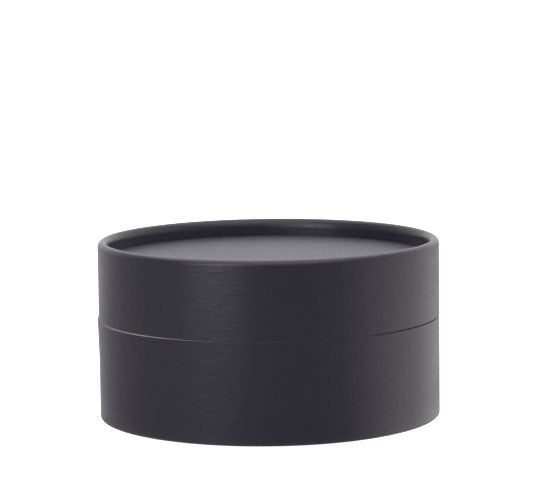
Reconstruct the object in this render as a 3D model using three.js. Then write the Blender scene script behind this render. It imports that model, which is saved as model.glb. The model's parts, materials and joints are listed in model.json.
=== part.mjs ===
// Round paperboard box: a base with a rolled foot and a glued-in neck, and a lid with a rolled rim that lifts
// off the neck. Layers of paper and board are separate pieces, all turned about one axis.
// Millimetres, +Z up. The origin is the centre of the ring that the box stands on.
import * as THREE from "three";

// Overall sizes
const outerDiameter = 100; // over the cover paper of the lid and of the base
const baseHeight = 29.2; // foot to the cut edge of the base
const lidHeight = 22.5; // cut edge of the lid to the top of its rolled rim
const seamGap = 0.3; // between the two cut edges when the lid is on

// Layers of paper and board
const coverThickness = 0.2; // black cover paper round the walls and over the rims
const plyThickness = 0.4; // each of the two board plies that the walls are wound from
const discThickness = 0.6; // board of the two cupped discs
const facingThickness = 0.15; // black paper on the outside of the discs
const liningThickness = 0.15; // kraft paper on the inside of the discs and of the neck
const neckPlyThickness = 0.5; // each of the two board plies of the neck
const neckFacingThickness = 0.15; // black paper round the outside of the neck
const glueLine = 0.05; // between two layers that are glued together

// Rolled rims: the radii that the cover paper turns through, and the recess that each rim stands round
const lidRim = { outerArc: 1.2, innerArc: 1.3 };
const baseRim = { outerArc: 1.5, innerArc: 1.0 };
const recessDepth = 5; // rim to the facing of the disc
const cornerArc = 1.2; // hollow corner where a disc turns up into its skirt
const skirtHeadroom = 0.3; // between the end of a skirt and the fold of the rim above it
const tightestBend = 0.04; // the inner layers of a fold are pressed nearly sharp

// Fits and cut edges
const neckClearance = 0.25; // neck to the bore of the lid, and to the bore of the base, where glue fills it
const neckHeadroom = 2.8; // between the end of the neck and the inside of the lid when the lid is on
const coverSetback = 0.15; // the cover paper stops this far short of a wall's cut edge
const mouthFlare = 0.15; // the glued-in neck swells the mouth of the base by this much
const flareLength = 12; // and the swelling dies out over this length of wall
const liningMargin = 0.3; // between the edge of a lining disc and the wall round it

// Fineness of the round shapes
const turnSegments = 40; // flats round every turned piece, so that nested pieces keep even gaps
const bendFlat = 0.65; // about how long each flat along a bend is

// Sizes that follow from those above
const outerRadius = outerDiameter / 2;
const totalHeight = baseHeight + seamGap + lidHeight;
const outerPlyInset = coverThickness + glueLine;
const innerPlyInset = outerPlyInset + plyThickness + glueLine;
const wallThickness = innerPlyInset + plyThickness;
const boreRadius = outerRadius - wallThickness;
const discBack = facingThickness + glueLine; // from the facing's surface to the disc's board
const discInside = discBack + discThickness; // and to the inside of that board
const rimWidth = 2 * wallThickness + discInside + 2 * glueLine; // two walls with a skirt between them
const skirtFaceRadius = outerRadius - rimWidth + wallThickness + glueLine;
const discFlatRadius = skirtFaceRadius - cornerArc;
const legDepth = recessDepth - cornerArc; // the rolled-in wall ends where the disc starts to turn up
const liningDepth = recessDepth + discInside + glueLine;
const neckRadius = boreRadius - neckClearance;
const neckOuterPlyRadius = neckRadius - neckFacingThickness - glueLine;
const neckInnerPlyRadius = neckOuterPlyRadius - neckPlyThickness - glueLine;
const neckLiningRadius = neckInnerPlyRadius - neckPlyThickness - glueLine;
const neckBoreRadius = neckLiningRadius - liningThickness;
const neckTop = totalHeight - liningDepth - liningThickness - neckHeadroom;

// Materials, as the photograph shows them
const paperBlack = { color: 0x2f2d34, roughness: 0.55, metalness: 0 };
const boardGrey = { color: 0xa8a49f, roughness: 0.9, metalness: 0 };
const paperKraft = { color: 0xb08d63, roughness: 0.85, metalness: 0 };

const quarterTurn = Math.PI / 2;
const point = (radius, height) => new THREE.Vector2(radius, height);

// Points along a quarter turn about a centre, from a given angle, both ends included. A wider bend never has
// fewer flats than a tighter one inside it, so the layers of a fold stay clear of each other.
function bend(centreRadius, centreHeight, radius, fromDegrees) {
  const flats = Math.max(1, Math.round((radius * quarterTurn) / bendFlat));
  return Array.from({ length: flats + 1 }, (_, step) => {
    const angle = THREE.MathUtils.degToRad(fromDegrees) + (quarterTurn * step) / flats;
    return point(centreRadius + radius * Math.cos(angle), centreHeight + radius * Math.sin(angle));
  });
}

// The line that lies a given inset under the outer surface of a rolled wall: from the cut edge up the wall,
// over the rim and down the rolled-in leg. Heights count from the top of the rim, so they are below zero.
function rolledLine(rim, inset, cutDepth, flare) {
  const wall = outerRadius - inset;
  const leg = outerRadius - rimWidth + inset;
  const outerArc = Math.max(rim.outerArc - inset, tightestBend);
  const innerArc = Math.max(rim.innerArc - inset, tightestBend);
  return [
    point(wall + flare, -cutDepth),
    ...(flare > 0 ? [point(wall, flareLength - cutDepth)] : []),
    ...bend(wall - outerArc, -inset - outerArc, outerArc, 0),
    ...bend(leg + innerArc, -inset - innerArc, innerArc, 90),
    point(leg, -legDepth),
  ];
}

// One layer of a rolled wall, between two insets.
function rolledLayer(rim, inset, thickness, cutDepth, flare = 0) {
  const outside = rolledLine(rim, inset, cutDepth, flare);
  const inside = rolledLine(rim, inset + thickness, cutDepth, flare);
  return [...outside, ...inside.reverse()];
}

// The line that lies a given distance behind the face of a cupped disc: out across the disc and up its skirt.
function cupLine(rim, behind) {
  const corner = cornerArc + behind;
  const floor = -recessDepth - behind;
  const foldDepth = Math.max(rim.outerArc, rim.innerArc, wallThickness + tightestBend);
  return [
    point(0, floor),
    ...bend(discFlatRadius, floor + corner, corner, -90),
    point(skirtFaceRadius + behind, -foldDepth - skirtHeadroom),
  ];
}

// One layer of a cupped disc, from the axis out to the end of its skirt and back.
function cupLayer(rim, behind, thickness) {
  return [...cupLine(rim, behind), ...cupLine(rim, behind + thickness).reverse()];
}

// A flat round sheet, given by its radius, its depth below the rim and its thickness.
function sheetLayer(radius, depth, thickness) {
  const back = depth + thickness;
  return [point(0, -depth), point(radius, -depth), point(radius, -back), point(0, -back)];
}

// A plain tube, given by its outer radius, its wall and its two ends.
function tubeLayer(radius, thickness, bottom, top) {
  return [
    point(radius, bottom),
    point(radius, top),
    point(radius - thickness, top),
    point(radius - thickness, bottom),
  ];
}

// An outline in radius and height, turned round the Z axis. It starts and ends on the axis or closes on
// itself, and it may run either way round.
function turned(outline) {
  const outward = THREE.ShapeUtils.area(outline) > 0 ? outline : [...outline].reverse();
  const profile = outward[0].x === 0 ? outward : [...outward, outward[0]];
  return new THREE.LatheGeometry(profile, turnSegments).rotateX(Math.PI / 2);
}

function piece(name, outline, material) {
  const mesh = new THREE.Mesh(turned(outline), new THREE.MeshStandardMaterial(material));
  mesh.name = name;
  return mesh;
}

// Heights below the lid's rim become heights above the foot.
const onLid = (outline) => outline.map((corner) => point(corner.x, totalHeight + corner.y));

// The base is the same kind of rolled wall, standing on its rim, so its heights are turned over.
const onBase = (outline) => outline.map((corner) => point(corner.x, -corner.y));

function makeLid() {
  const lid = new THREE.Group();
  const wallLayer = (inset, thickness, cutDepth) => onLid(rolledLayer(lidRim, inset, thickness, cutDepth));
  lid.add(
    piece("lid_cover", wallLayer(0, coverThickness, lidHeight - coverSetback), paperBlack),
    piece("lid_outer_ply", wallLayer(outerPlyInset, plyThickness, lidHeight), boardGrey),
    piece("lid_inner_ply", wallLayer(innerPlyInset, plyThickness, lidHeight), boardGrey),
    piece("lid_disc_facing", onLid(cupLayer(lidRim, 0, facingThickness)), paperBlack),
    piece("lid_disc", onLid(cupLayer(lidRim, discBack, discThickness)), boardGrey),
    piece(
      "lid_disc_lining",
      onLid(sheetLayer(discFlatRadius - liningMargin, liningDepth, liningThickness)),
      paperKraft,
    ),
  );
  return lid;
}

function makeBase() {
  const base = new THREE.Group();
  const wallLayer = (inset, thickness, cutDepth) =>
    onBase(rolledLayer(baseRim, inset, thickness, cutDepth, mouthFlare));
  base.add(
    piece("base_cover", wallLayer(0, coverThickness, baseHeight - coverSetback), paperBlack),
    piece("base_outer_ply", wallLayer(outerPlyInset, plyThickness, baseHeight), boardGrey),
    piece("base_inner_ply", wallLayer(innerPlyInset, plyThickness, baseHeight), boardGrey),
    piece("base_disc_facing", onBase(cupLayer(baseRim, 0, facingThickness)), paperBlack),
    piece("base_disc", onBase(cupLayer(baseRim, discBack, discThickness)), boardGrey),
    piece(
      "base_floor_lining",
      onBase(sheetLayer(neckBoreRadius - liningMargin, liningDepth, liningThickness)),
      paperKraft,
    ),
  );
  return base;
}

// The neck stands on the shoulder of the base disc, is glued to the bore of the base, and guides the lid.
function makeNeck() {
  const neck = new THREE.Group();
  const neckLayer = (radius, thickness) => tubeLayer(radius, thickness, liningDepth, neckTop);
  neck.add(
    piece("neck_facing", neckLayer(neckRadius, neckFacingThickness), paperBlack),
    piece("neck_outer_ply", neckLayer(neckOuterPlyRadius, neckPlyThickness), boardGrey),
    piece("neck_inner_ply", neckLayer(neckInnerPlyRadius, neckPlyThickness), boardGrey),
    piece("neck_lining", neckLayer(neckLiningRadius, liningThickness), paperKraft),
  );
  return neck;
}

const box = new THREE.Group();
box.add(makeBase(), makeNeck(), makeLid());

export default box;
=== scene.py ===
"""A round paper box with a rolled foot and a lid that lifts off, dressed one layer at a time.

Every layer of paper or board is drawn as a half section, spun about the box's axis and given its own
finish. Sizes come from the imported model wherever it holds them. Lengths are metres, and +Z is up.
"""

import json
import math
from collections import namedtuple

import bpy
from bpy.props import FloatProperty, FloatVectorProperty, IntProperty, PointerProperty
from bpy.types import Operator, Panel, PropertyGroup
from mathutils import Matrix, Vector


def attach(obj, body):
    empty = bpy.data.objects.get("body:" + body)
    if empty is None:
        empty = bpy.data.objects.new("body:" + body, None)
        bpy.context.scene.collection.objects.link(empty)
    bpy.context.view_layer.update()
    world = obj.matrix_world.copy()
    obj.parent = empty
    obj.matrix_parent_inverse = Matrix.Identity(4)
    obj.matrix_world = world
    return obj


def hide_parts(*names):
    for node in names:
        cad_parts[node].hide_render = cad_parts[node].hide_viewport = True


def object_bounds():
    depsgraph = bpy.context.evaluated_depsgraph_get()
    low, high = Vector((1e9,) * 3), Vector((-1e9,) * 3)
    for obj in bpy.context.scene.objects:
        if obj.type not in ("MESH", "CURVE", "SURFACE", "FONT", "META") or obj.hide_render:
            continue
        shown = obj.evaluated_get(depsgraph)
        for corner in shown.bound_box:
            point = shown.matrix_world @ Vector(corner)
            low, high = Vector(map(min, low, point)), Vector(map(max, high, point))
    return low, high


bl_info = {
    "name": "Round Paper Box",
    "version": (1, 0, 0),
    "blender": (4, 5, 0),
    "location": "3D View > Sidebar > Paper Box",
    "description": "Models a rolled-edge paper box from its layers of board and paper",
    "category": "Add Mesh",
}

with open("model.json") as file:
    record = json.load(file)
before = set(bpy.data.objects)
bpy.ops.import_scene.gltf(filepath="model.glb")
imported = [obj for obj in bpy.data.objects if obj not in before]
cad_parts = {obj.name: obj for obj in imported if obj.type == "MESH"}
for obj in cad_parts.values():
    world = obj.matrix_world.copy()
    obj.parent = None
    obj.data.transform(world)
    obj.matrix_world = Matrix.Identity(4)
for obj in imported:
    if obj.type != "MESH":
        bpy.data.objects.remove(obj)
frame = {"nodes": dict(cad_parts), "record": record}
CAD_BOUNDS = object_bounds()

MM = 0.001
AXIS = (0, 0, 1)
SECTION_NORMAL = (0, 1, 0)
CENTRE = (0, 0, 0)
PHOTO_WIDTH = 540
SENSOR_WIDTH = 36

# Modelling
PEN_DOT = 1 * MM
MERGE_DISTANCE = 0.002 * MM
SAME_PLACE = 0.01 * MM
SHARP_ANGLE = math.radians(35)
CUT_ANGLE = math.radians(60)
CUT_SEGMENTS = 2

# How a lifted edge fades towards its ends: the power of its share
SOFT_FADE = 1.5
FULL_FADE = 0.5

# The cover paper's overlap: how wide its free edge is, and over what share of its width its far side fades
LAP_EDGE = 0.06 * MM
LAP_FADE = 0.2

# Floor: distances from the box's axis at which it changes, and how white the walls and the camera see it
FLOOR_NEAR = 0.054
FLOOR_CLEAR = 0.075
FLOOR_FAR = 1.2
FLOOR_GLOSS = 0.45
FOOT_NEAR = 0.0505
FOOT_CLEAR = 0.056
FOOT_GLOSS = 0.45
FLOOR_INNER_RING = 0.15
FLOOR_OUTER_RING = 0.42
FLOOR_LIFT_NEAR = 0.9
FLOOR_LIFT_FAR = 1.0

# Surround: the bearing of its bright side, where it is dim and bright along that, and how it dims overhead
SURROUND_TURN = math.radians(27)
SURROUND_DIM = -0.8
SURROUND_BRIGHT = 0.95
SURROUND_LOW = 0.45
SURROUND_HIGH = 0.85
SURROUND_TOP = 0.5

# Lamps: place, size, and how bright each looks
LEFT_SOFTBOX = ((-0.31, -0.45, 0.15), (0.32, 0.27), 3.5)
TOP_SOFTBOX = ((0, -0.1, 0.85), (1.4, 2.2), 1.6)

# The floor by bearing in degrees, from in front of the box: its tone at the inner ring, its tone at the outer
# ring, and how warm it is
FLOOR_TONES = (
    (-180, 0.58, 0.70, -0.03), (-150, 0.55, 0.70, -0.03), (-120, 0.37, 0.47, 0.0), (-80, 0.34, 0.38, 0.03),
    (-58, 0.34, 0.28, 0.03), (-34, 0.33, 0.26, 0.02), (-18, 0.23, 0.15, 0.0), (28, 0.24, 0.13, 0.0),
    (45, 0.36, 0.28, 0.01), (62, 0.73, 0.63, 0.02), (78, 1.00, 0.92, 0.02), (95, 1.00, 1.00, 0.02),
    (125, 0.93, 0.98, 0.02), (142, 0.62, 0.72, 0.01), (160, 0.38, 0.40, -0.01), (180, 0.58, 0.70, -0.03),
)

Extent = namedtuple("Extent", "inner outer low high")
RolledLine = namedtuple(
    "RolledLine", "mouth wall leg rim cut leg_end flare_end outer_bend inner_bend inner_drop up"
)


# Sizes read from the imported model

def corners(node):
    """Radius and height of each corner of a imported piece."""
    return [(math.hypot(v.co.x, v.co.y), v.co.z) for v in frame["nodes"][node].data.vertices]


def extent(node):
    """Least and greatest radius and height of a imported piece."""
    radii, heights = zip(*corners(node))
    return Extent(min(radii), max(radii), min(heights), max(heights))


def mount_height(name):
    """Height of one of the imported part's mounts."""
    return next(m["pos_m"][2] for m in frame["record"]["mounts"] if m["name"] == name)


# Settings that a user would change

class RoundBoxShape(PropertyGroup):
    """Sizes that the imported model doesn't hold by themselves."""

    lid_outer_bend: FloatProperty(
        name="Lid Outer Bend", default=1.5 * MM, unit="LENGTH",
        description="Radius of the lid's rim on the outside, over the cover paper",
    )
    lid_inner_bend: FloatProperty(
        name="Lid Inner Bend", default=1.6 * MM, unit="LENGTH",
        description="Radius of the lid's rim towards the recess, over the cover paper",
    )
    lid_inner_drop: FloatProperty(
        name="Lid Inner Drop", default=2.6 * MM, unit="LENGTH",
        description="Height that the lid's rim takes to turn down into the recess, over the cover paper",
    )
    base_outer_bend: FloatProperty(
        name="Foot Outer Bend", default=0.65 * MM, unit="LENGTH",
        description="Radius of the rolled foot on the outside, over the cover paper",
    )
    base_inner_bend: FloatProperty(
        name="Foot Inner Bend", default=1.0 * MM, unit="LENGTH",
        description="Radius of the rolled foot towards the recess, over the cover paper",
    )
    base_inner_drop: FloatProperty(
        name="Foot Inner Drop", default=1.2 * MM, unit="LENGTH",
        description="Height that the rolled foot takes to turn up into the recess, over the cover paper",
    )
    tightest_bend: FloatProperty(
        name="Tightest Bend", default=0.04 * MM, unit="LENGTH",
        description="Radius left in the innermost layers of a fold",
    )
    disc_corner: FloatProperty(
        name="Disc Corner", default=1.2 * MM, unit="LENGTH",
        description="Radius of the hollow corner where a disc turns into its skirt",
    )
    tuck_gap: FloatProperty(
        name="Tuck Gap", default=0.04 * MM, unit="LENGTH",
        description="Between the end of the rolled-in cover paper and the disc that it is tucked down to",
    )
    glue_line: FloatProperty(
        name="Glue Line", default=0.05 * MM, unit="LENGTH",
        description="Gap between two layers that are glued together",
    )
    flare_length: FloatProperty(
        name="Flare Length", default=12 * MM, unit="LENGTH",
        description="Length of wall over which the mouth of the base swells",
    )
    edge_softness: FloatProperty(
        name="Edge Softness", default=0.2, subtype="FACTOR", min=0, max=1,
        description="Rounding of a cut edge, as a share of the layer's thickness",
    )
    seam_gap: FloatProperty(
        name="Seam Gap", default=0.02 * MM, unit="LENGTH",
        description="What is left open between the lid and the base when the lid is on",
    )
    trim_short: FloatProperty(
        name="Trim Short", default=0.19 * MM, unit="LENGTH",
        description="How far short of the seam the cover paper of the base is trimmed on the left",
    )
    trim_bearing: FloatProperty(
        name="Trim Bearing", default=math.radians(-147), subtype="ANGLE",
        description="Where round the box that strip is widest, from +X",
    )
    trim_spread: FloatProperty(
        name="Trim Spread", default=math.radians(40), subtype="ANGLE",
        description="How far to either side of that bearing the strip runs",
    )
    front_trim: FloatProperty(
        name="Front Trim", default=0.085 * MM, unit="LENGTH",
        description="How far short of the seam the cover paper of the base is trimmed in front",
    )
    front_bearing: FloatProperty(
        name="Front Bearing", default=math.radians(-78), subtype="ANGLE",
        description="Where round the box that hairline is widest, from +X",
    )
    front_spread: FloatProperty(
        name="Front Spread", default=math.radians(24), subtype="ANGLE",
        description="How far to either side of that bearing the hairline runs",
    )
    board_rise: FloatProperty(
        name="Board Rise", default=0.14 * MM, unit="LENGTH",
        description="How far the board of the base stands up into the seam",
    )
    open_seam: FloatProperty(
        name="Open Seam", default=0.16 * MM, unit="LENGTH",
        description="How far the wall of the lid is cut short on the right",
    )
    board_drop: FloatProperty(
        name="Board Drop", default=0.25 * MM, unit="LENGTH",
        description="How far the board of the base stands back from the open seam on the right",
    )
    open_bearing: FloatProperty(
        name="Open Bearing", default=math.radians(-10), subtype="ANGLE",
        description="Where round the box the seam is most open, from +X",
    )
    open_spread: FloatProperty(
        name="Open Spread", default=math.radians(45), subtype="ANGLE",
        description="How far to either side of that bearing the seam is open",
    )
    short_open: FloatProperty(
        name="Short Opening", default=0.11 * MM, unit="LENGTH",
        description="How far the wall of the lid is cut short beside the pale strip",
    )
    short_bearing: FloatProperty(
        name="Short Opening Bearing", default=math.radians(-107), subtype="ANGLE",
        description="Where round the box that short opening is, from +X",
    )
    short_spread: FloatProperty(
        name="Short Opening Spread", default=math.radians(8), subtype="ANGLE",
        description="How far to either side of that bearing it runs",
    )
    seam_lip: FloatProperty(
        name="Seam Lip", default=0.13 * MM, unit="LENGTH",
        description="Radius that the cover paper is pressed to along the seam",
    )
    mouth_offset: FloatProperty(
        name="Mouth Offset", default=0.2 * MM, unit="LENGTH",
        description="How far the swollen mouth of the base stands out of centre, towards the left",
    )
    lap_width: FloatProperty(
        name="Lap Width", default=9 * MM, unit="LENGTH",
        description="Width of the overlap where the cover paper meets itself",
    )
    lap_rise: FloatProperty(
        name="Lap Rise", default=0.1 * MM, unit="LENGTH",
        description="How far the overlap stands out from the wall",
    )
    lap_angle: FloatProperty(
        name="Lap Angle", default=math.radians(78), subtype="ANGLE",
        description="Place of the overlap's free edge round the box, from +X",
    )
    turn_steps: IntProperty(
        name="Turn Steps", default=192, min=16,
        description="Faces round every turned piece",
    )
    bend_steps: IntProperty(
        name="Bend Steps", default=8, min=2,
        description="Faces along every bend",
    )


class RoundBoxFinish(PropertyGroup):
    """Colours and gloss of the papers and boards."""

    # The facings use this colour painted 1.25 to 1.45 times lighter, as painted light on the disc's top.
    black_paper: FloatVectorProperty(
        name="Black Paper", subtype="COLOR", min=0, max=1, default=(0.0193, 0.0182, 0.0272),
        description="Cover paper and facings",
    )
    worn_paper: FloatVectorProperty(
        name="Worn Paper", subtype="COLOR", min=0, max=1, default=(0.06, 0.058, 0.062),
        description="Cover paper where its crests are rubbed",
    )
    raw_board: FloatVectorProperty(
        name="Raw Board", subtype="COLOR", min=0, max=1, default=(0.34, 0.324, 0.302),
        description="Wound plies and discs",
    )
    kraft: FloatVectorProperty(
        name="Kraft Paper", subtype="COLOR", min=0, max=1, default=(0.42, 0.28, 0.15),
        description="Linings of the neck and of the discs",
    )
    paper_roughness: FloatProperty(
        name="Paper Roughness", default=0.31, subtype="FACTOR", min=0, max=1,
        description="Roughness of the black paper between its crinkles",
    )
    emboss_depth: FloatProperty(
        name="Emboss Depth", default=0.03 * MM, unit="LENGTH",
        description="Depth of the creases and crinkles in the cover paper",
    )


class RoundBoxStage(PropertyGroup):
    """Camera, floor and light."""

    camera_place: FloatVectorProperty(
        name="Camera Place", subtype="TRANSLATION", default=(0, -776.1 * MM, 150 * MM),
        description="Where the camera stands",
    )
    camera_pitch: FloatProperty(
        name="Camera Pitch", default=math.radians(7.367), subtype="ANGLE",
        description="How far the camera looks down",
    )
    camera_yaw: FloatProperty(
        name="Camera Yaw", default=math.radians(0.039), subtype="ANGLE",
        description="How far the camera looks to the right",
    )
    camera_roll: FloatProperty(
        name="Camera Roll", default=math.radians(0.7), subtype="ANGLE",
        description="How far the camera leans, which lowers the left of the picture",
    )
    focal_pixels: FloatProperty(
        name="Focal Length in Pixels", default=2669, subtype="PIXEL",
        description="Focal length over the picture's width of 540 pixels",
    )
    floor_size: FloatProperty(name="Floor Size", description="Side of the floor", default=8, unit="LENGTH")
    light_colour: FloatVectorProperty(
        name="Light", subtype="COLOR", min=0, max=1, default=(1.0, 0.935, 0.99),
        description="Colour of the lamp overhead",
    )
    surround_colour: FloatVectorProperty(
        name="Surround", subtype="COLOR", min=0, max=1, default=(0.965, 0.955, 1.0),
        description="Colour of the surround",
    )
    window_colour: FloatVectorProperty(
        name="Left Light", subtype="COLOR", min=0, max=1, default=(0.9, 0.89, 1.0),
        description="Colour of the lamp on the left",
    )
    front_light: FloatProperty(
        name="Front Light", default=0.34,
        description="Strength of the surround on the camera's side",
    )
    back_light: FloatProperty(
        name="Back Light", default=1.3,
        description="Strength of the surround behind the box",
    )


# Edit-mode modelling

class SectionPen:
    """Draws a half section in the XZ plane with edit-mode operators, then spins it into a round piece."""

    def __init__(self, name, radius, height):
        bpy.ops.object.select_all(action="DESELECT")
        bpy.ops.mesh.primitive_plane_add(size=PEN_DOT)
        self.piece = bpy.context.object
        self.piece.name = name
        self.piece.data.name = name
        bpy.ops.object.mode_set(mode="EDIT")
        bpy.ops.mesh.select_mode(type="VERT")
        bpy.ops.mesh.select_all(action="SELECT")
        bpy.ops.mesh.merge(type="CENTER")
        bpy.ops.transform.translate(value=(radius, 0, height))
        self.radius = radius
        self.height = height

    def line(self, radius, height):
        """Draws a straight edge to a place."""
        step = (radius - self.radius, 0, height - self.height)
        if math.hypot(step[0], step[2]) < MERGE_DISTANCE:
            return
        bpy.ops.mesh.extrude_vertices_move(TRANSFORM_OT_translate={"value": step})
        self.radius = radius
        self.height = height

    def arc(self, radius, height, degrees, steps):
        """Draws an arc about a place. Positive angles turn from outwards to upwards."""
        angle = math.radians(degrees)
        bpy.ops.mesh.spin(steps=steps, angle=angle, center=(radius, 0, height), axis=SECTION_NORMAL)
        across = self.radius - radius
        up = self.height - height
        self.radius = radius + across * math.cos(angle) - up * math.sin(angle)
        self.height = height + across * math.sin(angle) + up * math.cos(angle)

    def turn(self, steps):
        """Spins the section once round the box's axis and closes it."""
        bpy.ops.mesh.select_all(action="SELECT")
        bpy.ops.mesh.remove_doubles(threshold=MERGE_DISTANCE)
        bpy.ops.mesh.spin(steps=steps, angle=math.tau, center=CENTRE, axis=AXIS)
        bpy.ops.mesh.select_all(action="SELECT")
        bpy.ops.mesh.remove_doubles(threshold=MERGE_DISTANCE)
        bpy.ops.mesh.normals_make_consistent(inside=False)
        bpy.ops.object.mode_set(mode="OBJECT")
        return self.piece


def select_where(piece, mode, parts, test):
    """Enters edit mode with only the vertices or faces that pass a test selected."""
    bpy.ops.object.mode_set(mode="EDIT")
    bpy.ops.mesh.select_mode(type=mode)
    bpy.ops.mesh.select_all(action="DESELECT")
    bpy.ops.object.mode_set(mode="OBJECT")
    for part in getattr(piece.data, parts):
        part.select = test(part)
    bpy.ops.object.mode_set(mode="EDIT")


def apply_modifier(piece, kind, **settings):
    """Adds a modifier to the active piece and applies it."""
    bpy.ops.object.modifier_add(type=kind)
    modifier = piece.modifiers[-1]
    for name, value in settings.items():
        setattr(modifier, name, value)
    bpy.ops.object.modifier_apply(modifier=modifier.name)


def soften_edges(piece, width):
    """Rounds the cut edges and shades the piece so that flats stay flat."""
    corner = {"limit_method": "ANGLE", "angle_limit": CUT_ANGLE, "use_clamp_overlap": True}
    apply_modifier(piece, "BEVEL", width=width, segments=CUT_SEGMENTS, **corner)
    bpy.ops.object.shade_smooth_by_angle(angle=SHARP_ANGLE)
    apply_modifier(piece, "WEIGHTED_NORMAL", keep_sharp=True)


def dress(piece, node, body, material):
    """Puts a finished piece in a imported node's place, with its body, slot and material."""
    piece.data.materials.clear()
    piece.data.materials.append(material)
    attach(piece, body)
    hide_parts(node)


# Rolled walls

def disc_face(body):
    """Height of the outer face of the lid's or the base's disc."""
    lid_face = mount_height("lid_panel")
    return lid_face if body == "lid" else CAD_BOUNDS[0].z + CAD_BOUNDS[1].z - lid_face


def rolled_line(shape, body, inset, cut, tucked):
    """The line that lies a given inset under the surface of the lid's or the base's rolled wall."""
    lid = extent("lid_cover")
    cover = extent(body + "_cover")
    up = 1 if body == "lid" else -1
    rim = cover.high if up > 0 else cover.low
    wall = lid.outer - inset
    leg = cover.inner + inset
    on_leg = cover.inner + SAME_PLACE
    leg_heights = [height for radius, height in corners(body + "_cover") if radius < on_leg]
    leg_end = min(leg_heights) if up > 0 else max(leg_heights)
    if tucked:
        leg_end = disc_face(body) + up * shape.tuck_gap
    outer_bend = shape.lid_outer_bend if up > 0 else shape.base_outer_bend
    inner_bend = shape.lid_inner_bend if up > 0 else shape.base_inner_bend
    inner_drop = shape.lid_inner_drop if up > 0 else shape.base_inner_drop
    return RolledLine(
        mouth=cover.outer - inset,
        wall=wall,
        leg=leg,
        rim=rim - up * inset,
        cut=cut,
        leg_end=leg_end,
        flare_end=cut + up * shape.flare_length,
        outer_bend=max(outer_bend - inset, shape.tightest_bend),
        inner_bend=max(inner_bend - inset, shape.tightest_bend),
        inner_drop=max(inner_drop - inset, shape.tightest_bend),
        up=up,
    )


def inner_turn(line, share):
    """A place along the oval that the rim turns through from its crown to the leg."""
    angle = share * math.pi / 2
    radius = line.leg + line.inner_bend * (1 - math.sin(angle))
    return radius, line.rim - line.up * line.inner_drop * (1 - math.cos(angle))


def trace_out(pen, line, steps):
    """Draws a rolled line from the cut edge to the end of the leg."""
    quarter = 90 * line.up
    if line.mouth > line.wall + SAME_PLACE:
        pen.line(line.wall, line.flare_end)
    pen.line(line.wall, line.rim - line.up * line.outer_bend)
    pen.arc(line.wall - line.outer_bend, line.rim - line.up * line.outer_bend, quarter, steps)
    for step in range(steps + 1):
        pen.line(*inner_turn(line, step / steps))
    pen.line(line.leg, line.leg_end)


def trace_back(pen, line, steps):
    """Draws a rolled line from the end of the leg back to the cut edge."""
    quarter = -90 * line.up
    pen.line(line.leg, line.leg_end)
    for step in range(steps, -1, -1):
        pen.line(*inner_turn(line, step / steps))
    pen.line(line.wall - line.outer_bend, line.rim)
    pen.arc(line.wall - line.outer_bend, line.rim - line.up * line.outer_bend, quarter, steps)
    if line.mouth > line.wall + SAME_PLACE:
        pen.line(line.wall, line.flare_end)
    pen.line(line.mouth, line.cut)


def roll_layer(shape, name, body, inset, thickness, cut, lip=0):
    """Models one layer of a rolled wall, with its cut edge pressed round to a lip on the outside."""
    outside = rolled_line(shape, body, inset, cut, lip > 0)
    inside = rolled_line(shape, body, inset + thickness, cut, lip > 0)
    lip_height = cut + outside.up * lip
    pen = SectionPen(name, outside.mouth - lip, cut)
    if lip > 0:
        pen.arc(outside.mouth - lip, lip_height, 90 * outside.up, shape.bend_steps)
    trace_out(pen, outside, shape.bend_steps)
    trace_back(pen, inside, shape.bend_steps)
    pen.line(outside.mouth - lip, cut)
    return pen.turn(shape.turn_steps)


def wall_insets(body):
    """How far under the surface the cover, the outer ply and the inner ply of a wall lie."""
    names = [body + "_cover", body + "_outer_ply", body + "_inner_ply"]
    if body == "lid":
        rims = [extent(name).high for name in names]
    else:
        rims = [-extent(name).low for name in names]
    return [rims[0] - rim for rim in rims]


def push_mouth(shape, piece, cut):
    """Moves the swollen mouth of a layer of the base out of centre."""
    low = cut - shape.seam_lip - SAME_PLACE
    select_where(piece, "VERT", "vertices", lambda vertex: vertex.co.z > low)
    bpy.ops.transform.translate(value=(-shape.mouth_offset, 0, 0))
    bpy.ops.object.mode_set(mode="OBJECT")


def lap_share(shape, radius, angle):
    """How much of the lap's rise a place round the wall has: a crisp free edge, then a soft far side."""
    along = (angle - shape.lap_angle) * radius
    if along < 0 or along > shape.lap_width * (1 + LAP_FADE):
        return 0
    if along <= shape.lap_width:
        return 1
    return 1 - (along - shape.lap_width) / (shape.lap_width * LAP_FADE)


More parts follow.
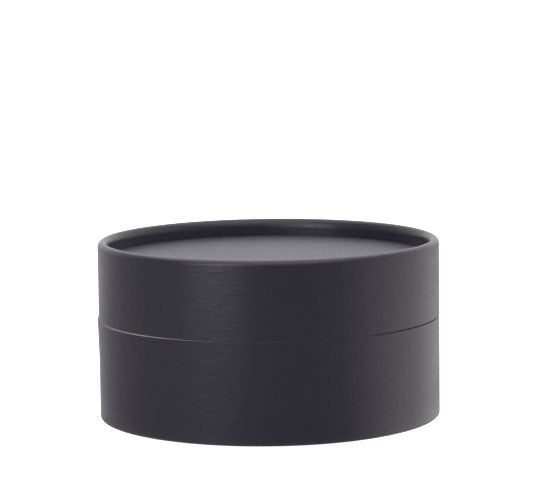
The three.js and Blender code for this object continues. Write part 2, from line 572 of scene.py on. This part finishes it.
def raise_lap(shape, piece, body):
    """Raises the strip where the end of the cover paper is pasted over its start."""
    cover = extent(body + "_cover")
    rim_middle = (cover.inner + cover.outer) / 2
    half_rim = (cover.outer - cover.inner) / 2
    rim = cover.high if body == "lid" else cover.low
    pressed_end = shape.lid_outer_bend + half_rim
    crisp = LAP_EDGE / cover.outer
    ends = [0, crisp, shape.lap_width / cover.outer, shape.lap_width * (1 + LAP_FADE) / cover.outer]
    for end in ends:
        angle = shape.lap_angle - crisp + end
        select_where(piece, "FACE", "polygons", lambda face: face.center.y > 0)
        bpy.ops.mesh.bisect(plane_co=CENTRE, plane_no=(-math.sin(angle), math.cos(angle), 0))
    bpy.ops.mesh.select_all(action="SELECT")
    lap_end = rim + (pressed_end if body == "base" else -pressed_end)
    bpy.ops.mesh.bisect(plane_co=(0, 0, lap_end), plane_no=AXIS)
    bpy.ops.object.mode_set(mode="OBJECT")
    group = piece.vertex_groups.new(name="lap")
    for vertex in piece.data.vertices:
        radius = math.hypot(vertex.co.x, vertex.co.y)
        outward = Vector((vertex.co.x / radius, vertex.co.y / radius, 0))
        if body == "lid":
            over = max(vertex.co.z - (cover.high - half_rim), 0)
        else:
            over = min(vertex.co.z - (cover.low + half_rim), 0)
        from_fold = outward * (radius - rim_middle) + Vector((0, 0, over))
        if vertex.normal.dot(from_fold) <= 0:
            continue
        angle = math.atan2(vertex.co.y, vertex.co.x) + SAME_PLACE / cover.outer
        share = lap_share(shape, cover.outer, angle)
        from_rim = abs(vertex.co.z - rim)
        pressed = min(max((from_rim - shape.lid_outer_bend) / half_rim, 0), 1)
        group.add([vertex.index], share * pressed, "REPLACE")
    apply_modifier(piece, "DISPLACE", vertex_group="lap", strength=shape.lap_rise, mid_level=0)


def seam_cut(shape, body):
    """Height of a wall's cut edge in the seam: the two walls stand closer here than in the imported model."""
    middle = (extent("base_outer_ply").high + extent("lid_outer_ply").low) / 2
    return middle + (shape.seam_gap if body == "lid" else -shape.seam_gap) / 2


def lift_edge(piece, low, high, bearing, spread, fade, rise):
    """Raises the edge between two heights, most at one bearing and by less towards the ends of a spread."""
    group = piece.vertex_groups.new(name="edge")
    for vertex in piece.data.vertices:
        if low - SAME_PLACE < vertex.co.z < high + SAME_PLACE:
            facing = math.cos(math.atan2(vertex.co.y, vertex.co.x) - bearing)
            share = (facing - math.cos(spread)) / (1 - math.cos(spread))
            group.add([vertex.index], max(share, 0) ** fade, "REPLACE")
    apply_modifier(piece, "DISPLACE", vertex_group="edge", direction="Z", strength=rise, mid_level=0)


def seam_openings(shape):
    """The bearing, spread and depth of the two places where the lid's wall is cut short."""
    return (
        (shape.open_bearing, shape.open_spread, shape.open_seam),
        (shape.short_bearing, shape.short_spread, shape.short_open),
    )


class ROUNDBOX_OT_cover_papers(Operator):
    """Model the black cover papers of the lid and the base"""

    bl_idname = "round_box.cover_papers"
    bl_label = "Cover Papers"

    def execute(self, context):
        shape = context.scene.round_box_shape
        material = black_cover_material(context.scene.round_box_finish)
        for body in ("lid", "base"):
            node = body + "_cover"
            insets = wall_insets(body)
            thickness = insets[1] - insets[0] - shape.glue_line
            cut = seam_cut(shape, body)
            piece = roll_layer(shape, node + "_paper", body, insets[0], thickness, cut, shape.seam_lip)
            if body == "base":
                push_mouth(shape, piece, cut)
                left = (shape.trim_bearing, shape.trim_spread, SOFT_FADE, -shape.trim_short)
                front = (shape.front_bearing, shape.front_spread, FULL_FADE, -shape.front_trim)
                for trim in (left, front):
                    lift_edge(piece, cut - shape.seam_lip, cut, *trim)
            else:
                for bearing, spread, depth in seam_openings(shape):
                    lift_edge(piece, cut, cut + shape.seam_lip, bearing, spread, FULL_FADE, depth)
            raise_lap(shape, piece, body)
            soften_edges(piece, thickness * shape.edge_softness)
            dress(piece, node, body, material)
        return {"FINISHED"}


class ROUNDBOX_OT_wound_plies(Operator):
    """Model the board plies that the walls of the lid and the base are wound from"""

    bl_idname = "round_box.wound_plies"
    bl_label = "Wound Plies"

    def execute(self, context):
        shape = context.scene.round_box_shape
        material = raw_board_material(context.scene.round_box_finish)
        for body in ("lid", "base"):
            insets = wall_insets(body)
            thickness = insets[2] - insets[1] - shape.glue_line
            for ply, inset in zip(("outer", "inner"), insets[1:]):
                node = f"{body}_{ply}_ply"
                size = extent(node)
                cut = size.low if body == "lid" else size.high + shape.board_rise
                piece = roll_layer(shape, node + "_board", body, inset, thickness, cut)
                if body == "base":
                    push_mouth(shape, piece, cut)
                for bearing, spread, depth in seam_openings(shape):
                    rise = depth if body == "lid" else -shape.board_drop
                    lift_edge(piece, cut, cut, bearing, spread, FULL_FADE, rise)
                soften_edges(piece, thickness * shape.edge_softness)
                dress(piece, node, body, material)
        return {"FINISHED"}


# Cupped discs

def cup_layer(shape, name, node, face, corner, thickness):
    """Models one layer of a cupped disc, from the axis out to the end of its skirt and back."""
    size = extent(node)
    up = 1 if node.startswith("lid") else -1
    if up > 0:
        skirt_end = min(size.high, extent("lid_cover").high - shape.lid_inner_drop)
    else:
        skirt_end = max(size.low, extent("base_cover").low + shape.base_inner_drop)
    flat = size.outer - thickness - corner
    quarter = 90 * up
    back = face - up * thickness
    pen = SectionPen(name, 0, face)
    pen.line(flat, face)
    pen.arc(flat, face + up * corner, quarter, shape.bend_steps)
    pen.line(flat + corner, skirt_end)
    pen.line(size.outer, skirt_end)
    pen.line(size.outer, face + up * corner)
    pen.arc(flat, face + up * corner, -quarter, shape.bend_steps)
    pen.line(0, back)
    return pen.turn(shape.turn_steps)


class ROUNDBOX_OT_cupped_discs(Operator):
    """Model the cupped discs that close the lid and the base, and their black facings"""

    bl_idname = "round_box.cupped_discs"
    bl_label = "Cupped Discs"

    def execute(self, context):
        shape = context.scene.round_box_shape
        lightened_facing_material = black_facing_painted_lighter_material(context.scene.round_box_finish)
        board_material = raw_board_material(context.scene.round_box_finish)
        facing_thickness = disc_face("lid") - extent("lid_disc_facing").low
        for body, up in (("lid", 1), ("base", -1)):
            face = disc_face(body)
            facing = body + "_disc_facing"
            piece = cup_layer(shape, facing + "_paper", facing, face, shape.disc_corner, facing_thickness)
            soften_edges(piece, facing_thickness * shape.edge_softness)
            dress(piece, facing, body, lightened_facing_material)
            disc = body + "_disc"
            behind = facing_thickness + shape.glue_line
            thickness = extent(disc).outer - extent(facing).outer - shape.glue_line
            corner = shape.disc_corner + behind
            piece = cup_layer(shape, disc + "_board", disc, face - up * behind, corner, thickness)
            soften_edges(piece, thickness * shape.edge_softness)
            dress(piece, disc, body, board_material)
        return {"FINISHED"}


class ROUNDBOX_OT_disc_linings(Operator):
    """Model the kraft linings on the inside of the two discs"""

    bl_idname = "round_box.disc_linings"
    bl_label = "Disc Linings"

    def execute(self, context):
        shape = context.scene.round_box_shape
        material = kraft_material(context.scene.round_box_finish, "kraft_disc_lining", line_share=0)
        for body, node in (("lid", "lid_disc_lining"), ("base", "base_floor_lining")):
            size = extent(node)
            pen = SectionPen(node + "_paper", 0, size.low)
            pen.line(size.outer, size.low)
            pen.line(size.outer, size.high)
            pen.line(0, size.high)
            piece = pen.turn(shape.turn_steps)
            soften_edges(piece, (size.high - size.low) * shape.edge_softness)
            dress(piece, node, body, material)
        return {"FINISHED"}


# Neck

class ROUNDBOX_OT_neck(Operator):
    """Model the neck that the lid slides over: two plies, a facing and a lining"""

    bl_idname = "round_box.neck"
    bl_label = "Neck"

    def execute(self, context):
        shape = context.scene.round_box_shape
        finish = context.scene.round_box_finish
        board = raw_board_material(finish)
        kraft = kraft_material(finish, "kraft_neck_lining", line_share=1)
        layers = {
            "neck_facing": ("_paper", black_facing_painted_lighter_material(finish)),
            "neck_outer_ply": ("_board", board),
            "neck_inner_ply": ("_board", board),
            "neck_lining": ("_paper", kraft),
        }
        for node, (suffix, material) in layers.items():
            size = extent(node)
            pen = SectionPen(node + suffix, size.outer, size.low)
            pen.line(size.outer, size.high)
            pen.line(size.inner, size.high)
            pen.line(size.inner, size.low)
            pen.line(size.outer, size.low)
            piece = pen.turn(shape.turn_steps)
            soften_edges(piece, (size.outer - size.inner) * shape.edge_softness)
            dress(piece, node, "base", material)
        return {"FINISHED"}


# Finishes

def add_node(tree, kind, settings=None, **inputs):
    """Adds a node, with its settings and the values of its sockets, or the sockets that feed them."""
    node = tree.nodes.new(kind)
    for name, value in (settings or {}).items():
        setattr(node, name, value)
    for name, value in inputs.items():
        socket = node.inputs[int(name[1:])] if name[0] == "_" else node.inputs[name.replace("_", " ")]
        if isinstance(value, bpy.types.NodeSocket):
            tree.links.new(value, socket)
        else:
            socket.default_value = value
    return node


def new_group(name, values, outputs):
    """Starts a shader node group that reads a place and some values, and returns it with its sockets."""
    group = bpy.data.node_groups.new(name, "ShaderNodeTree")
    group.interface.new_socket("Vector", in_out="INPUT", socket_type="NodeSocketVector")
    for socket, value in values.items():
        made = group.interface.new_socket(socket, in_out="INPUT", socket_type="NodeSocketFloat")
        made.default_value = value
    for socket in outputs:
        group.interface.new_socket(socket, in_out="OUTPUT", socket_type="NodeSocketFloat")
    return group, group.nodes.new("NodeGroupInput").outputs, group.nodes.new("NodeGroupOutput").inputs


def math_node(tree, operation, first, second=0.0):
    """Adds a Math node and returns what it puts out."""
    return add_node(tree, "ShaderNodeMath", {"operation": operation}, _0=first, _1=second).outputs[0]


def smooth_range(tree, value, low, high, to_low=0.0, to_high=1.0):
    """Adds a smooth Map Range node and returns what it puts out."""
    limits = {"From_Min": low, "From_Max": high, "To_Min": to_low, "To_Max": to_high}
    node = add_node(tree, "ShaderNodeMapRange", {"interpolation_type": "SMOOTHSTEP"}, Value=value, **limits)
    return node.outputs["Result"]


def vector_math(tree, operation, first, second, output=0):
    """Adds a Vector Math node and returns one of its outputs."""
    node = add_node(tree, "ShaderNodeVectorMath", {"operation": operation}, _0=first, _1=second)
    return node.outputs[output]


def noise(tree, place, scale, detail, roughness=0.5, output=0):
    """Adds a Noise Texture node and returns one of its outputs."""
    settings = {"Scale": scale, "Detail": detail, "Roughness": roughness}
    return add_node(tree, "ShaderNodeTexNoise", Vector=place, **settings).outputs[output]


def blend(tree, share, first, second):
    """Mixes two values by a share and returns the result."""
    node = add_node(tree, "ShaderNodeMix", {"data_type": "FLOAT"}, Factor=share, A=first, B=second)
    return node.outputs["Result"]


# Black paper: how far a crest reaches into the folds beside it, and the ranges of noise that become creased
# patches, lighter paper and rubbed patches
CREST_WIDTH = 0.11
CREASED_PATCHES = (0.3, 0.55)
CRINKLES_PER_CREASE = 3.5
PAPER_TONES = (0.3, 0.75)
RUBBED_PATCHES = (0.45, 0.75)

# Board and kraft: how much shorter a fibre is upwards, and the ranges of noise that become flecks and tones
FIBRE_STRETCH = (1.0, 1.0, 3.0)
FLECKS = (0.64, 0.74)
PULP_TONES = (0.3, 0.7)


def embossed_paper_group():
    """Short curved creases that mostly lie flat, between finer crinkles and a fibre grain."""
    name = "Embossed Paper"
    if name in bpy.data.node_groups:
        return bpy.data.node_groups[name]
    values = {
        "Creases per Metre": 190.0,
        "Flatness": 2.6,
        "Warp": 2 * MM,
        "Crinkle Share": 0.35,
        "Fibre Share": 0.2,
    }
    group, given, out = new_group(name, values, ["Height", "Tone"])
    wander = noise(group, given["Vector"], scale=240.0, detail=2.0, output="Color")
    centred = vector_math(group, "SUBTRACT", wander, (0.5, 0.5, 0.5))
    shift = add_node(group, "ShaderNodeVectorMath", {"operation": "SCALE"}, _0=centred, Scale=given["Warp"])
    warped = vector_math(group, "ADD", given["Vector"], shift.outputs[0])
    flat = add_node(group, "ShaderNodeCombineXYZ", X=1.0, Y=1.0, Z=given["Flatness"]).outputs[0]
    along = vector_math(group, "MULTIPLY", warped, flat)
    folds = noise(group, along, given["Creases per Metre"], detail=1.5)
    from_crest = math_node(group, "ABSOLUTE", math_node(group, "SUBTRACT", folds, 0.5))
    crests = smooth_range(group, from_crest, 0.0, CREST_WIDTH, 1.0, 0.0)
    patches = noise(group, given["Vector"], scale=330.0, detail=1.0)
    creases = math_node(group, "MULTIPLY", crests, smooth_range(group, patches, *CREASED_PATCHES))
    crinkle_scale = math_node(group, "MULTIPLY", given["Creases per Metre"], CRINKLES_PER_CREASE)
    crinkle = noise(group, along, crinkle_scale, detail=2.0)
    fibre = noise(group, given["Vector"], scale=1600.0, detail=3.0)
    broken = blend(group, given["Crinkle Share"], creases, crinkle)
    group.links.new(blend(group, given["Fibre Share"], broken, fibre), out["Height"])
    group.links.new(smooth_range(group, crinkle, *PAPER_TONES), out["Tone"])
    return group


def edge_rub_group():
    """Broken rubbing along a crest at a given height."""
    name = "Edge Rub"
    if name in bpy.data.node_groups:
        return bpy.data.node_groups[name]
    group, given, out = new_group(name, {"Edge Height": 0.0, "Reach": 0.8 * MM}, ["Mask"])
    height = add_node(group, "ShaderNodeSeparateXYZ", Vector=given["Vector"]).outputs["Z"]
    away = math_node(group, "ABSOLUTE", math_node(group, "SUBTRACT", height, given["Edge Height"]))
    near = smooth_range(group, math_node(group, "DIVIDE", away, given["Reach"]), 0.0, 1.0, 1.0, 0.0)
    patches = smooth_range(group, noise(group, given["Vector"], scale=420.0, detail=4.0), *RUBBED_PATCHES)
    group.links.new(math_node(group, "MULTIPLY", near, patches), out["Mask"])
    return group


def board_fleck_group():
    """Long fibres and dark flecks of recycled board."""
    name = "Board Flecks"
    if name in bpy.data.node_groups:
        return bpy.data.node_groups[name]
    values = {"Fibre Scale": 900.0, "Fleck Scale": 650.0}
    group, given, out = new_group(name, values, ["Height", "Flecks", "Tone"])
    stretch = vector_math(group, "MULTIPLY", given["Vector"], FIBRE_STRETCH)
    fibre = noise(group, stretch, given["Fibre Scale"], detail=5.0, roughness=0.65)
    fleck = noise(group, stretch, given["Fleck Scale"], detail=2.0)
    tone = noise(group, given["Vector"], scale=120.0, detail=3.0)
    group.links.new(fibre, out["Height"])
    group.links.new(smooth_range(group, fleck, *FLECKS), out["Flecks"])
    group.links.new(smooth_range(group, tone, *PULP_TONES), out["Tone"])
    return group


def winding_line_group():
    """The helical line where one turn of a wound strip of paper meets the next."""
    name = "Winding Line"
    if name in bpy.data.node_groups:
        return bpy.data.node_groups[name]
    group, given, out = new_group(name, {"Pitch": 60 * MM, "Width": 0.4 * MM}, ["Mask"])
    place = add_node(group, "ShaderNodeSeparateXYZ", Vector=given["Vector"]).outputs
    turn = math_node(group, "DIVIDE", math_node(group, "ARCTAN2", place["Y"], place["X"]), math.tau)
    climb = math_node(group, "DIVIDE", place["Z"], given["Pitch"])
    share = math_node(group, "FRACT", math_node(group, "SUBTRACT", climb, turn))
    from_line = math_node(group, "ABSOLUTE", math_node(group, "SUBTRACT", share, 0.5))
    away = math_node(group, "MULTIPLY", from_line, given["Pitch"])
    near = smooth_range(group, math_node(group, "DIVIDE", away, given["Width"]), 0.0, 1.0, 1.0, 0.0)
    group.links.new(near, out["Mask"])
    return group


def use_group(tree, group, **inputs):
    """Places a node group in a material, with its own values."""
    return add_node(tree, "ShaderNodeGroup", {"node_tree": group}, **inputs).outputs


def mix_colour(tree, factor, first, second):
    """Mixes two colours by a mask. A Mix node takes colours at inputs 6 and 7 and gives one at output 2."""
    node = add_node(tree, "ShaderNodeMix", {"data_type": "RGBA"}, Factor=factor, _6=first, _7=second)
    return node.outputs[2]


def opaque(colour, share=1.0):
    """A colour with its alpha, made darker or lighter by a share."""
    return (*(min(channel * share, 1) for channel in colour), 1)


def two_tone(tree, mask, colour, darker, lighter):
    """A colour that runs between a darker and a lighter share of itself."""
    return mix_colour(tree, mask, opaque(colour, darker), opaque(colour, lighter))


def new_material(name):
    """A material with only its shader, and the object coordinates that its patterns read."""
    material = bpy.data.materials.new(name)
    material.use_nodes = True
    tree = material.node_tree
    tree.nodes.clear()
    shader = tree.nodes.new("ShaderNodeBsdfPrincipled")
    output = tree.nodes.new("ShaderNodeOutputMaterial")
    tree.links.new(shader.outputs[0], output.inputs["Surface"])
    place = tree.nodes.new("ShaderNodeTexCoord").outputs["Object"]
    return material, tree, shader, place


def feed_shader(tree, shader, colour, rough, height, depth):
    """Feeds a finish's colour, roughness and relief to its shader."""
    relief = add_node(tree, "ShaderNodeBump", Strength=1.0, Distance=depth, Height=height)
    tree.links.new(colour, shader.inputs["Base Color"])
    tree.links.new(rough, shader.inputs["Roughness"])
    tree.links.new(relief.outputs["Normal"], shader.inputs["Normal"])


# How strong the marks in each finish are: shares of its colour, mask or relief, and depths of relief
MATT_SPECULAR = 0.3
RUB_SHARE = 0.35
FLAT_RELIEF = 0.4
BOARD_FLECK = 0.6
BOARD_RELIEF = 0.05 * MM
KRAFT_FLECK = 0.62
KRAFT_FLECK_SHARE = 0.6
KRAFT_LINE = 0.45
KRAFT_RELIEF = 0.03 * MM
LINE_STRENGTH = 0.7
LINE_DEPTH = 1.5


def black_cover_material(finish):
    """Black satin paper, crinkled by pasting and rubbed along the rim and the foot."""
    material, tree, shader, place = new_material("black_cover_paper")
    paper = use_group(tree, embossed_paper_group(), Vector=place)
    rim = use_group(tree, edge_rub_group(), Vector=place, Edge_Height=CAD_BOUNDS[1].z, Reach=0.7 * MM)
    foot = use_group(tree, edge_rub_group(), Vector=place, Edge_Height=CAD_BOUNDS[0].z, Reach=0.9 * MM)
    rubbed = math_node(tree, "MULTIPLY", math_node(tree, "ADD", rim["Mask"], foot["Mask"]), RUB_SHARE)
    sheet = two_tone(tree, paper["Tone"], finish.black_paper, darker=0.92, lighter=1.1)
    colour = mix_colour(tree, rubbed, sheet, opaque(finish.worn_paper))
    dull = finish.paper_roughness + 0.04
    glossy = finish.paper_roughness - 0.03
    rough = smooth_range(tree, paper["Tone"], 0.0, 1.0, dull, glossy)
    shader.inputs["IOR"].default_value = 1.45
    feed_shader(tree, shader, colour, rough, paper["Height"], finish.emboss_depth)
    return material


def black_facing_painted_lighter_material(finish):
    """The same black paper laid flat on a disc or wound round the neck, with less crinkle, painted 1.25 to
    1.45 times lighter than the cover paper as painted light that brightens the disc's top.
    """
    name = "black_facing_paper"
    if name in bpy.data.materials:
        return bpy.data.materials[name]
    material, tree, shader, place = new_material(name)
    paper = use_group(tree, embossed_paper_group(), Vector=place, Flatness=1.0)
    # Painted light: the facing is painted 1.25 to 1.45 times the black paper's colour, so the disc's top
    # reads brighter than the cover paper.
    colour = two_tone(tree, paper["Tone"], finish.black_paper, darker=1.25, lighter=1.45)
    dull = finish.paper_roughness + 0.14
    glossy = finish.paper_roughness + 0.09
    rough = smooth_range(tree, paper["Tone"], 0.0, 1.0, dull, glossy)
    shader.inputs["IOR"].default_value = 1.5
    feed_shader(tree, shader, colour, rough, paper["Height"], finish.emboss_depth * FLAT_RELIEF)
    return material


def raw_board_material(finish):
    """Raw wound board with its fibres and flecks."""
    name = "raw_board"
    if name in bpy.data.materials:
        return bpy.data.materials[name]
    material, tree, shader, place = new_material(name)
    board = use_group(tree, board_fleck_group(), Vector=place)
    pulp = two_tone(tree, board["Tone"], finish.raw_board, darker=0.88, lighter=1.08)
    colour = mix_colour(tree, board["Flecks"], pulp, opaque(finish.raw_board, BOARD_FLECK))
    rough = smooth_range(tree, board["Height"], *PULP_TONES, to_low=0.95, to_high=0.84)
    shader.inputs["Specular IOR Level"].default_value = MATT_SPECULAR
    feed_shader(tree, shader, colour, rough, board["Height"], BOARD_RELIEF)
    return material


def kraft_material(finish, name, line_share):
    """Natural kraft paper, with a winding line where it was wound round the neck."""
    material, tree, shader, place = new_material(name)
    board = use_group(tree, board_fleck_group(), Vector=place, Fibre_Scale=1300.0, Fleck_Scale=800.0)
    winding = use_group(tree, winding_line_group(), Vector=place)
    pulp = two_tone(tree, board["Tone"], finish.kraft, darker=0.96, lighter=1.05)
    flecks = math_node(tree, "MULTIPLY", board["Flecks"], KRAFT_FLECK_SHARE)
    flecked = mix_colour(tree, flecks, pulp, opaque(finish.kraft, KRAFT_FLECK))
    line = math_node(tree, "MULTIPLY", winding["Mask"], LINE_STRENGTH * line_share)
    colour = mix_colour(tree, line, flecked, opaque(finish.kraft, KRAFT_LINE))
    rough = smooth_range(tree, board["Height"], *PULP_TONES, to_low=0.88, to_high=0.76)
    shader.inputs["Specular IOR Level"].default_value = MATT_SPECULAR
    groove = math_node(tree, "MULTIPLY", winding["Mask"], LINE_DEPTH * line_share)
    grooved = math_node(tree, "SUBTRACT", board["Height"], groove)
    feed_shader(tree, shader, colour, rough, grooved, KRAFT_RELIEF)
    return material


# Stage

def tone_ramp(tree, turn, tones):
    """Tones by bearing, all the way round from behind the box, each with its warmth."""
    ramp = add_node(tree, "ShaderNodeValToRGB", Fac=turn)
    stops = ramp.color_ramp.elements
    while len(stops) < len(tones):
        stops.new(0.5)
    for stop, (degrees, tone, warmth) in zip(stops, tones):
        stop.position = (degrees + 180) / 360
        stop.color = opaque((tone * (1 + warmth), tone, tone * (1 - warmth)))
    return ramp.outputs["Color"]


def mirror_lead(tree, away):
    """How many times its own bearing the floor is toned at.

    Each column of a wall mirrors the floor close to it at a smaller bearing than the floor further off.
    Toning the near floor as if it lay further round keeps that column even.
    """
    half = CAD_BOUNDS[1].x / 2
    outside = math_node(tree, "MAXIMUM", away, CAD_BOUNDS[1].x)
    share = math_node(tree, "SUBTRACT", 1.0, math_node(tree, "DIVIDE", half, outside))
    lead = math_node(tree, "DIVIDE", 1 - half / FLOOR_INNER_RING, share)
    return math_node(tree, "MAXIMUM", lead, 1.0)


def floor_material():
    """A floor toned by bearing, which the walls mirror, and plain white to the camera outside its shadow."""
    material, tree, shader, place = new_material("pale_floor")
    along = add_node(tree, "ShaderNodeSeparateXYZ", Vector=place).outputs
    bearing = math_node(tree, "ARCTAN2", along["X"], math_node(tree, "MULTIPLY", along["Y"], -1.0))
    away = vector_math(tree, "LENGTH", place, CENTRE, output="Value")
    toned_at = math_node(tree, "MULTIPLY", bearing, mirror_lead(tree, away))
    limits = {"From_Min": -math.pi, "From_Max": math.pi}
    turn = add_node(tree, "ShaderNodeMapRange", Value=toned_at, **limits).outputs["Result"]
    inner_tones = tone_ramp(tree, turn, [(degrees, inner, warm) for degrees, inner, _, warm in FLOOR_TONES])
    outer_tones = tone_ramp(tree, turn, [(degrees, outer, warm) for degrees, _, outer, warm in FLOOR_TONES])
    outwards = smooth_range(tree, away, FLOOR_INNER_RING, FLOOR_OUTER_RING)
    tree.links.new(mix_colour(tree, outwards, inner_tones, outer_tones), shader.inputs["Base Color"])
    shader.inputs["Roughness"].default_value = 0.9
    shader.inputs["Specular IOR Level"].default_value = 0.1
    path = tree.nodes.new("ShaderNodeLightPath").outputs
    spread = smooth_range(tree, away, FLOOR_CLEAR, FLOOR_FAR, FLOOR_LIFT_NEAR, FLOOR_LIFT_FAR)
    seen = math_node(tree, "MULTIPLY", path["Is Camera Ray"], spread)
    near = smooth_range(tree, away, FLOOR_NEAR, FLOOR_CLEAR, FLOOR_GLOSS, 0.0)
    at_foot = smooth_range(tree, away, FOOT_NEAR, FOOT_CLEAR, FOOT_GLOSS, 0.0)
    in_front = smooth_range(tree, along["Y"], CAD_BOUNDS[0].y, 0.0, 1.0, 0.0)
    foot_glow = math_node(tree, "MULTIPLY", at_foot, in_front)
    glow = math_node(tree, "ADD", math_node(tree, "MULTIPLY", near, inner_tones), foot_glow)
    mirrored = math_node(tree, "MULTIPLY", path["Is Glossy Ray"], glow)
    tree.links.new(math_node(tree, "ADD", seen, mirrored), shader.inputs["Emission Strength"])
    shader.inputs["Emission Color"].default_value = (1, 1, 1, 1)
    return material


def make_floor(stage):
    """Adds the floor under the foot."""
    bpy.ops.object.select_all(action="DESELECT")
    bpy.ops.mesh.primitive_plane_add(size=stage.floor_size)
    floor = bpy.context.object
    floor.name = "floor"
    floor.data.materials.append(floor_material())


def light_world(stage):
    """A white surround that is dim on the camera's side and overhead, and plain white to the camera."""
    world = bpy.data.worlds.new("studio_surround")
    bpy.context.scene.world = world
    world.use_nodes = True
    tree = world.node_tree
    tree.nodes.clear()
    direction = tree.nodes.new("ShaderNodeTexCoord").outputs["Generated"]
    bright_side = (math.sin(SURROUND_TURN), math.cos(SURROUND_TURN), 0)
    towards = vector_math(tree, "DOT_PRODUCT", direction, bright_side, output="Value")
    sides = (SURROUND_DIM, SURROUND_BRIGHT)
    strength = smooth_range(tree, towards, *sides, stage.front_light, stage.back_light)
    height = add_node(tree, "ShaderNodeSeparateXYZ", Vector=direction).outputs["Z"]
    low = smooth_range(tree, height, SURROUND_LOW, SURROUND_HIGH, 1.0, SURROUND_TOP)
    surround = add_node(tree, "ShaderNodeBackground", Strength=math_node(tree, "MULTIPLY", strength, low))
    surround.inputs["Color"].default_value = opaque(stage.surround_colour)
    backdrop = add_node(tree, "ShaderNodeBackground", Strength=1.0)
    backdrop.inputs["Color"].default_value = (1, 1, 1, 1)
    path = tree.nodes.new("ShaderNodeLightPath").outputs
    shaders = {"_1": surround.outputs[0], "_2": backdrop.outputs[0]}
    mix = add_node(tree, "ShaderNodeMixShader", _0=path["Is Camera Ray"], **shaders)
    output = tree.nodes.new("ShaderNodeOutputWorld")
    tree.links.new(mix.outputs[0], output.inputs["Surface"])


def add_softbox(name, colour, place, size, strength):
    """Adds a rectangular lamp that faces the box. Its strength is how bright it looks."""
    bpy.ops.object.light_add(type="AREA", location=place)
    lamp = bpy.context.object
    lamp.name = name
    lamp.visible_camera = False
    lamp.data.shape = "RECTANGLE"
    lamp.data.size, lamp.data.size_y = size
    lamp.data.color = colour
    lamp.data.energy = strength * math.pi * size[0] * size[1]
    middle = (CAD_BOUNDS[0] + CAD_BOUNDS[1]) / 2
    lamp.rotation_euler = (middle - Vector(place)).to_track_quat("-Z", "Y").to_euler()


def light_lamps(stage):
    """A small softbox on the left in front of the box, and a large one overhead."""
    add_softbox("left_softbox", stage.window_colour, *LEFT_SOFTBOX)
    add_softbox("top_softbox", stage.light_colour, *TOP_SOFTBOX)


def make_camera(stage):
    """Adds the camera at the photograph's place and leans it as the photograph does."""
    data = bpy.data.cameras.new("photo_camera")
    data.sensor_width = SENSOR_WIDTH
    data.lens = stage.focal_pixels * SENSOR_WIDTH / PHOTO_WIDTH
    camera = bpy.data.objects.new("photo_camera", data)
    bpy.context.scene.collection.objects.link(camera)
    tilt = Matrix.Rotation(math.pi / 2 - stage.camera_pitch, 4, "X")
    look = Matrix.Rotation(-stage.camera_yaw, 4, "Z") @ tilt
    lean = Matrix.Rotation(-stage.camera_roll, 4, "Z")
    camera.matrix_world = Matrix.Translation(stage.camera_place) @ look @ lean
    bpy.context.scene.camera = camera


class ROUNDBOX_OT_stage(Operator):
    """Set the floor, the light and the camera"""

    bl_idname = "round_box.stage"
    bl_label = "Stage"

    def execute(self, context):
        stage = context.scene.round_box_stage
        make_camera(stage)
        make_floor(stage)
        light_world(stage)
        light_lamps(stage)
        context.scene.view_settings.view_transform = "Standard"
        return {"FINISHED"}


# Panel and registration

class ROUNDBOX_PT_panel(Panel):
    """Lists the settings and the steps that make the box"""

    bl_idname = "ROUNDBOX_PT_panel"
    bl_label = "Round Paper Box"
    bl_space_type = "VIEW_3D"
    bl_region_type = "UI"
    bl_category = "Paper Box"

    def draw(self, context):
        for group in ("round_box_shape", "round_box_finish", "round_box_stage"):
            settings = getattr(context.scene, group)
            column = self.layout.column(align=True)
            for name in settings.__annotations__:
                column.prop(settings, name)
        for step in STEPS:
            self.layout.operator(step.bl_idname)


STEPS = (
    ROUNDBOX_OT_cover_papers,
    ROUNDBOX_OT_wound_plies,
    ROUNDBOX_OT_cupped_discs,
    ROUNDBOX_OT_disc_linings,
    ROUNDBOX_OT_neck,
    ROUNDBOX_OT_stage,
)
SETTINGS = {
    "round_box_shape": RoundBoxShape,
    "round_box_finish": RoundBoxFinish,
    "round_box_stage": RoundBoxStage,
}


def register():
    """Adds the settings, the steps and the panel to Blender."""
    for settings in SETTINGS.values():
        bpy.utils.register_class(settings)
    for step in STEPS:
        bpy.utils.register_class(step)
    bpy.utils.register_class(ROUNDBOX_PT_panel)
    for name, settings in SETTINGS.items():
        setattr(bpy.types.Scene, name, PointerProperty(type=settings))


def unregister():
    """Takes the settings, the steps and the panel out of Blender again."""
    for name in SETTINGS:
        delattr(bpy.types.Scene, name)
    bpy.utils.unregister_class(ROUNDBOX_PT_panel)
    for step in reversed(STEPS):
        bpy.utils.unregister_class(step)
    for settings in reversed(SETTINGS.values()):
        bpy.utils.unregister_class(settings)


def main():
    """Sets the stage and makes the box."""
    register()
    bpy.ops.round_box.stage()
    bpy.ops.round_box.cover_papers()
    bpy.ops.round_box.wound_plies()
    bpy.ops.round_box.cupped_discs()
    bpy.ops.round_box.disc_linings()
    bpy.ops.round_box.neck()


if __name__ == "__main__":
    main()
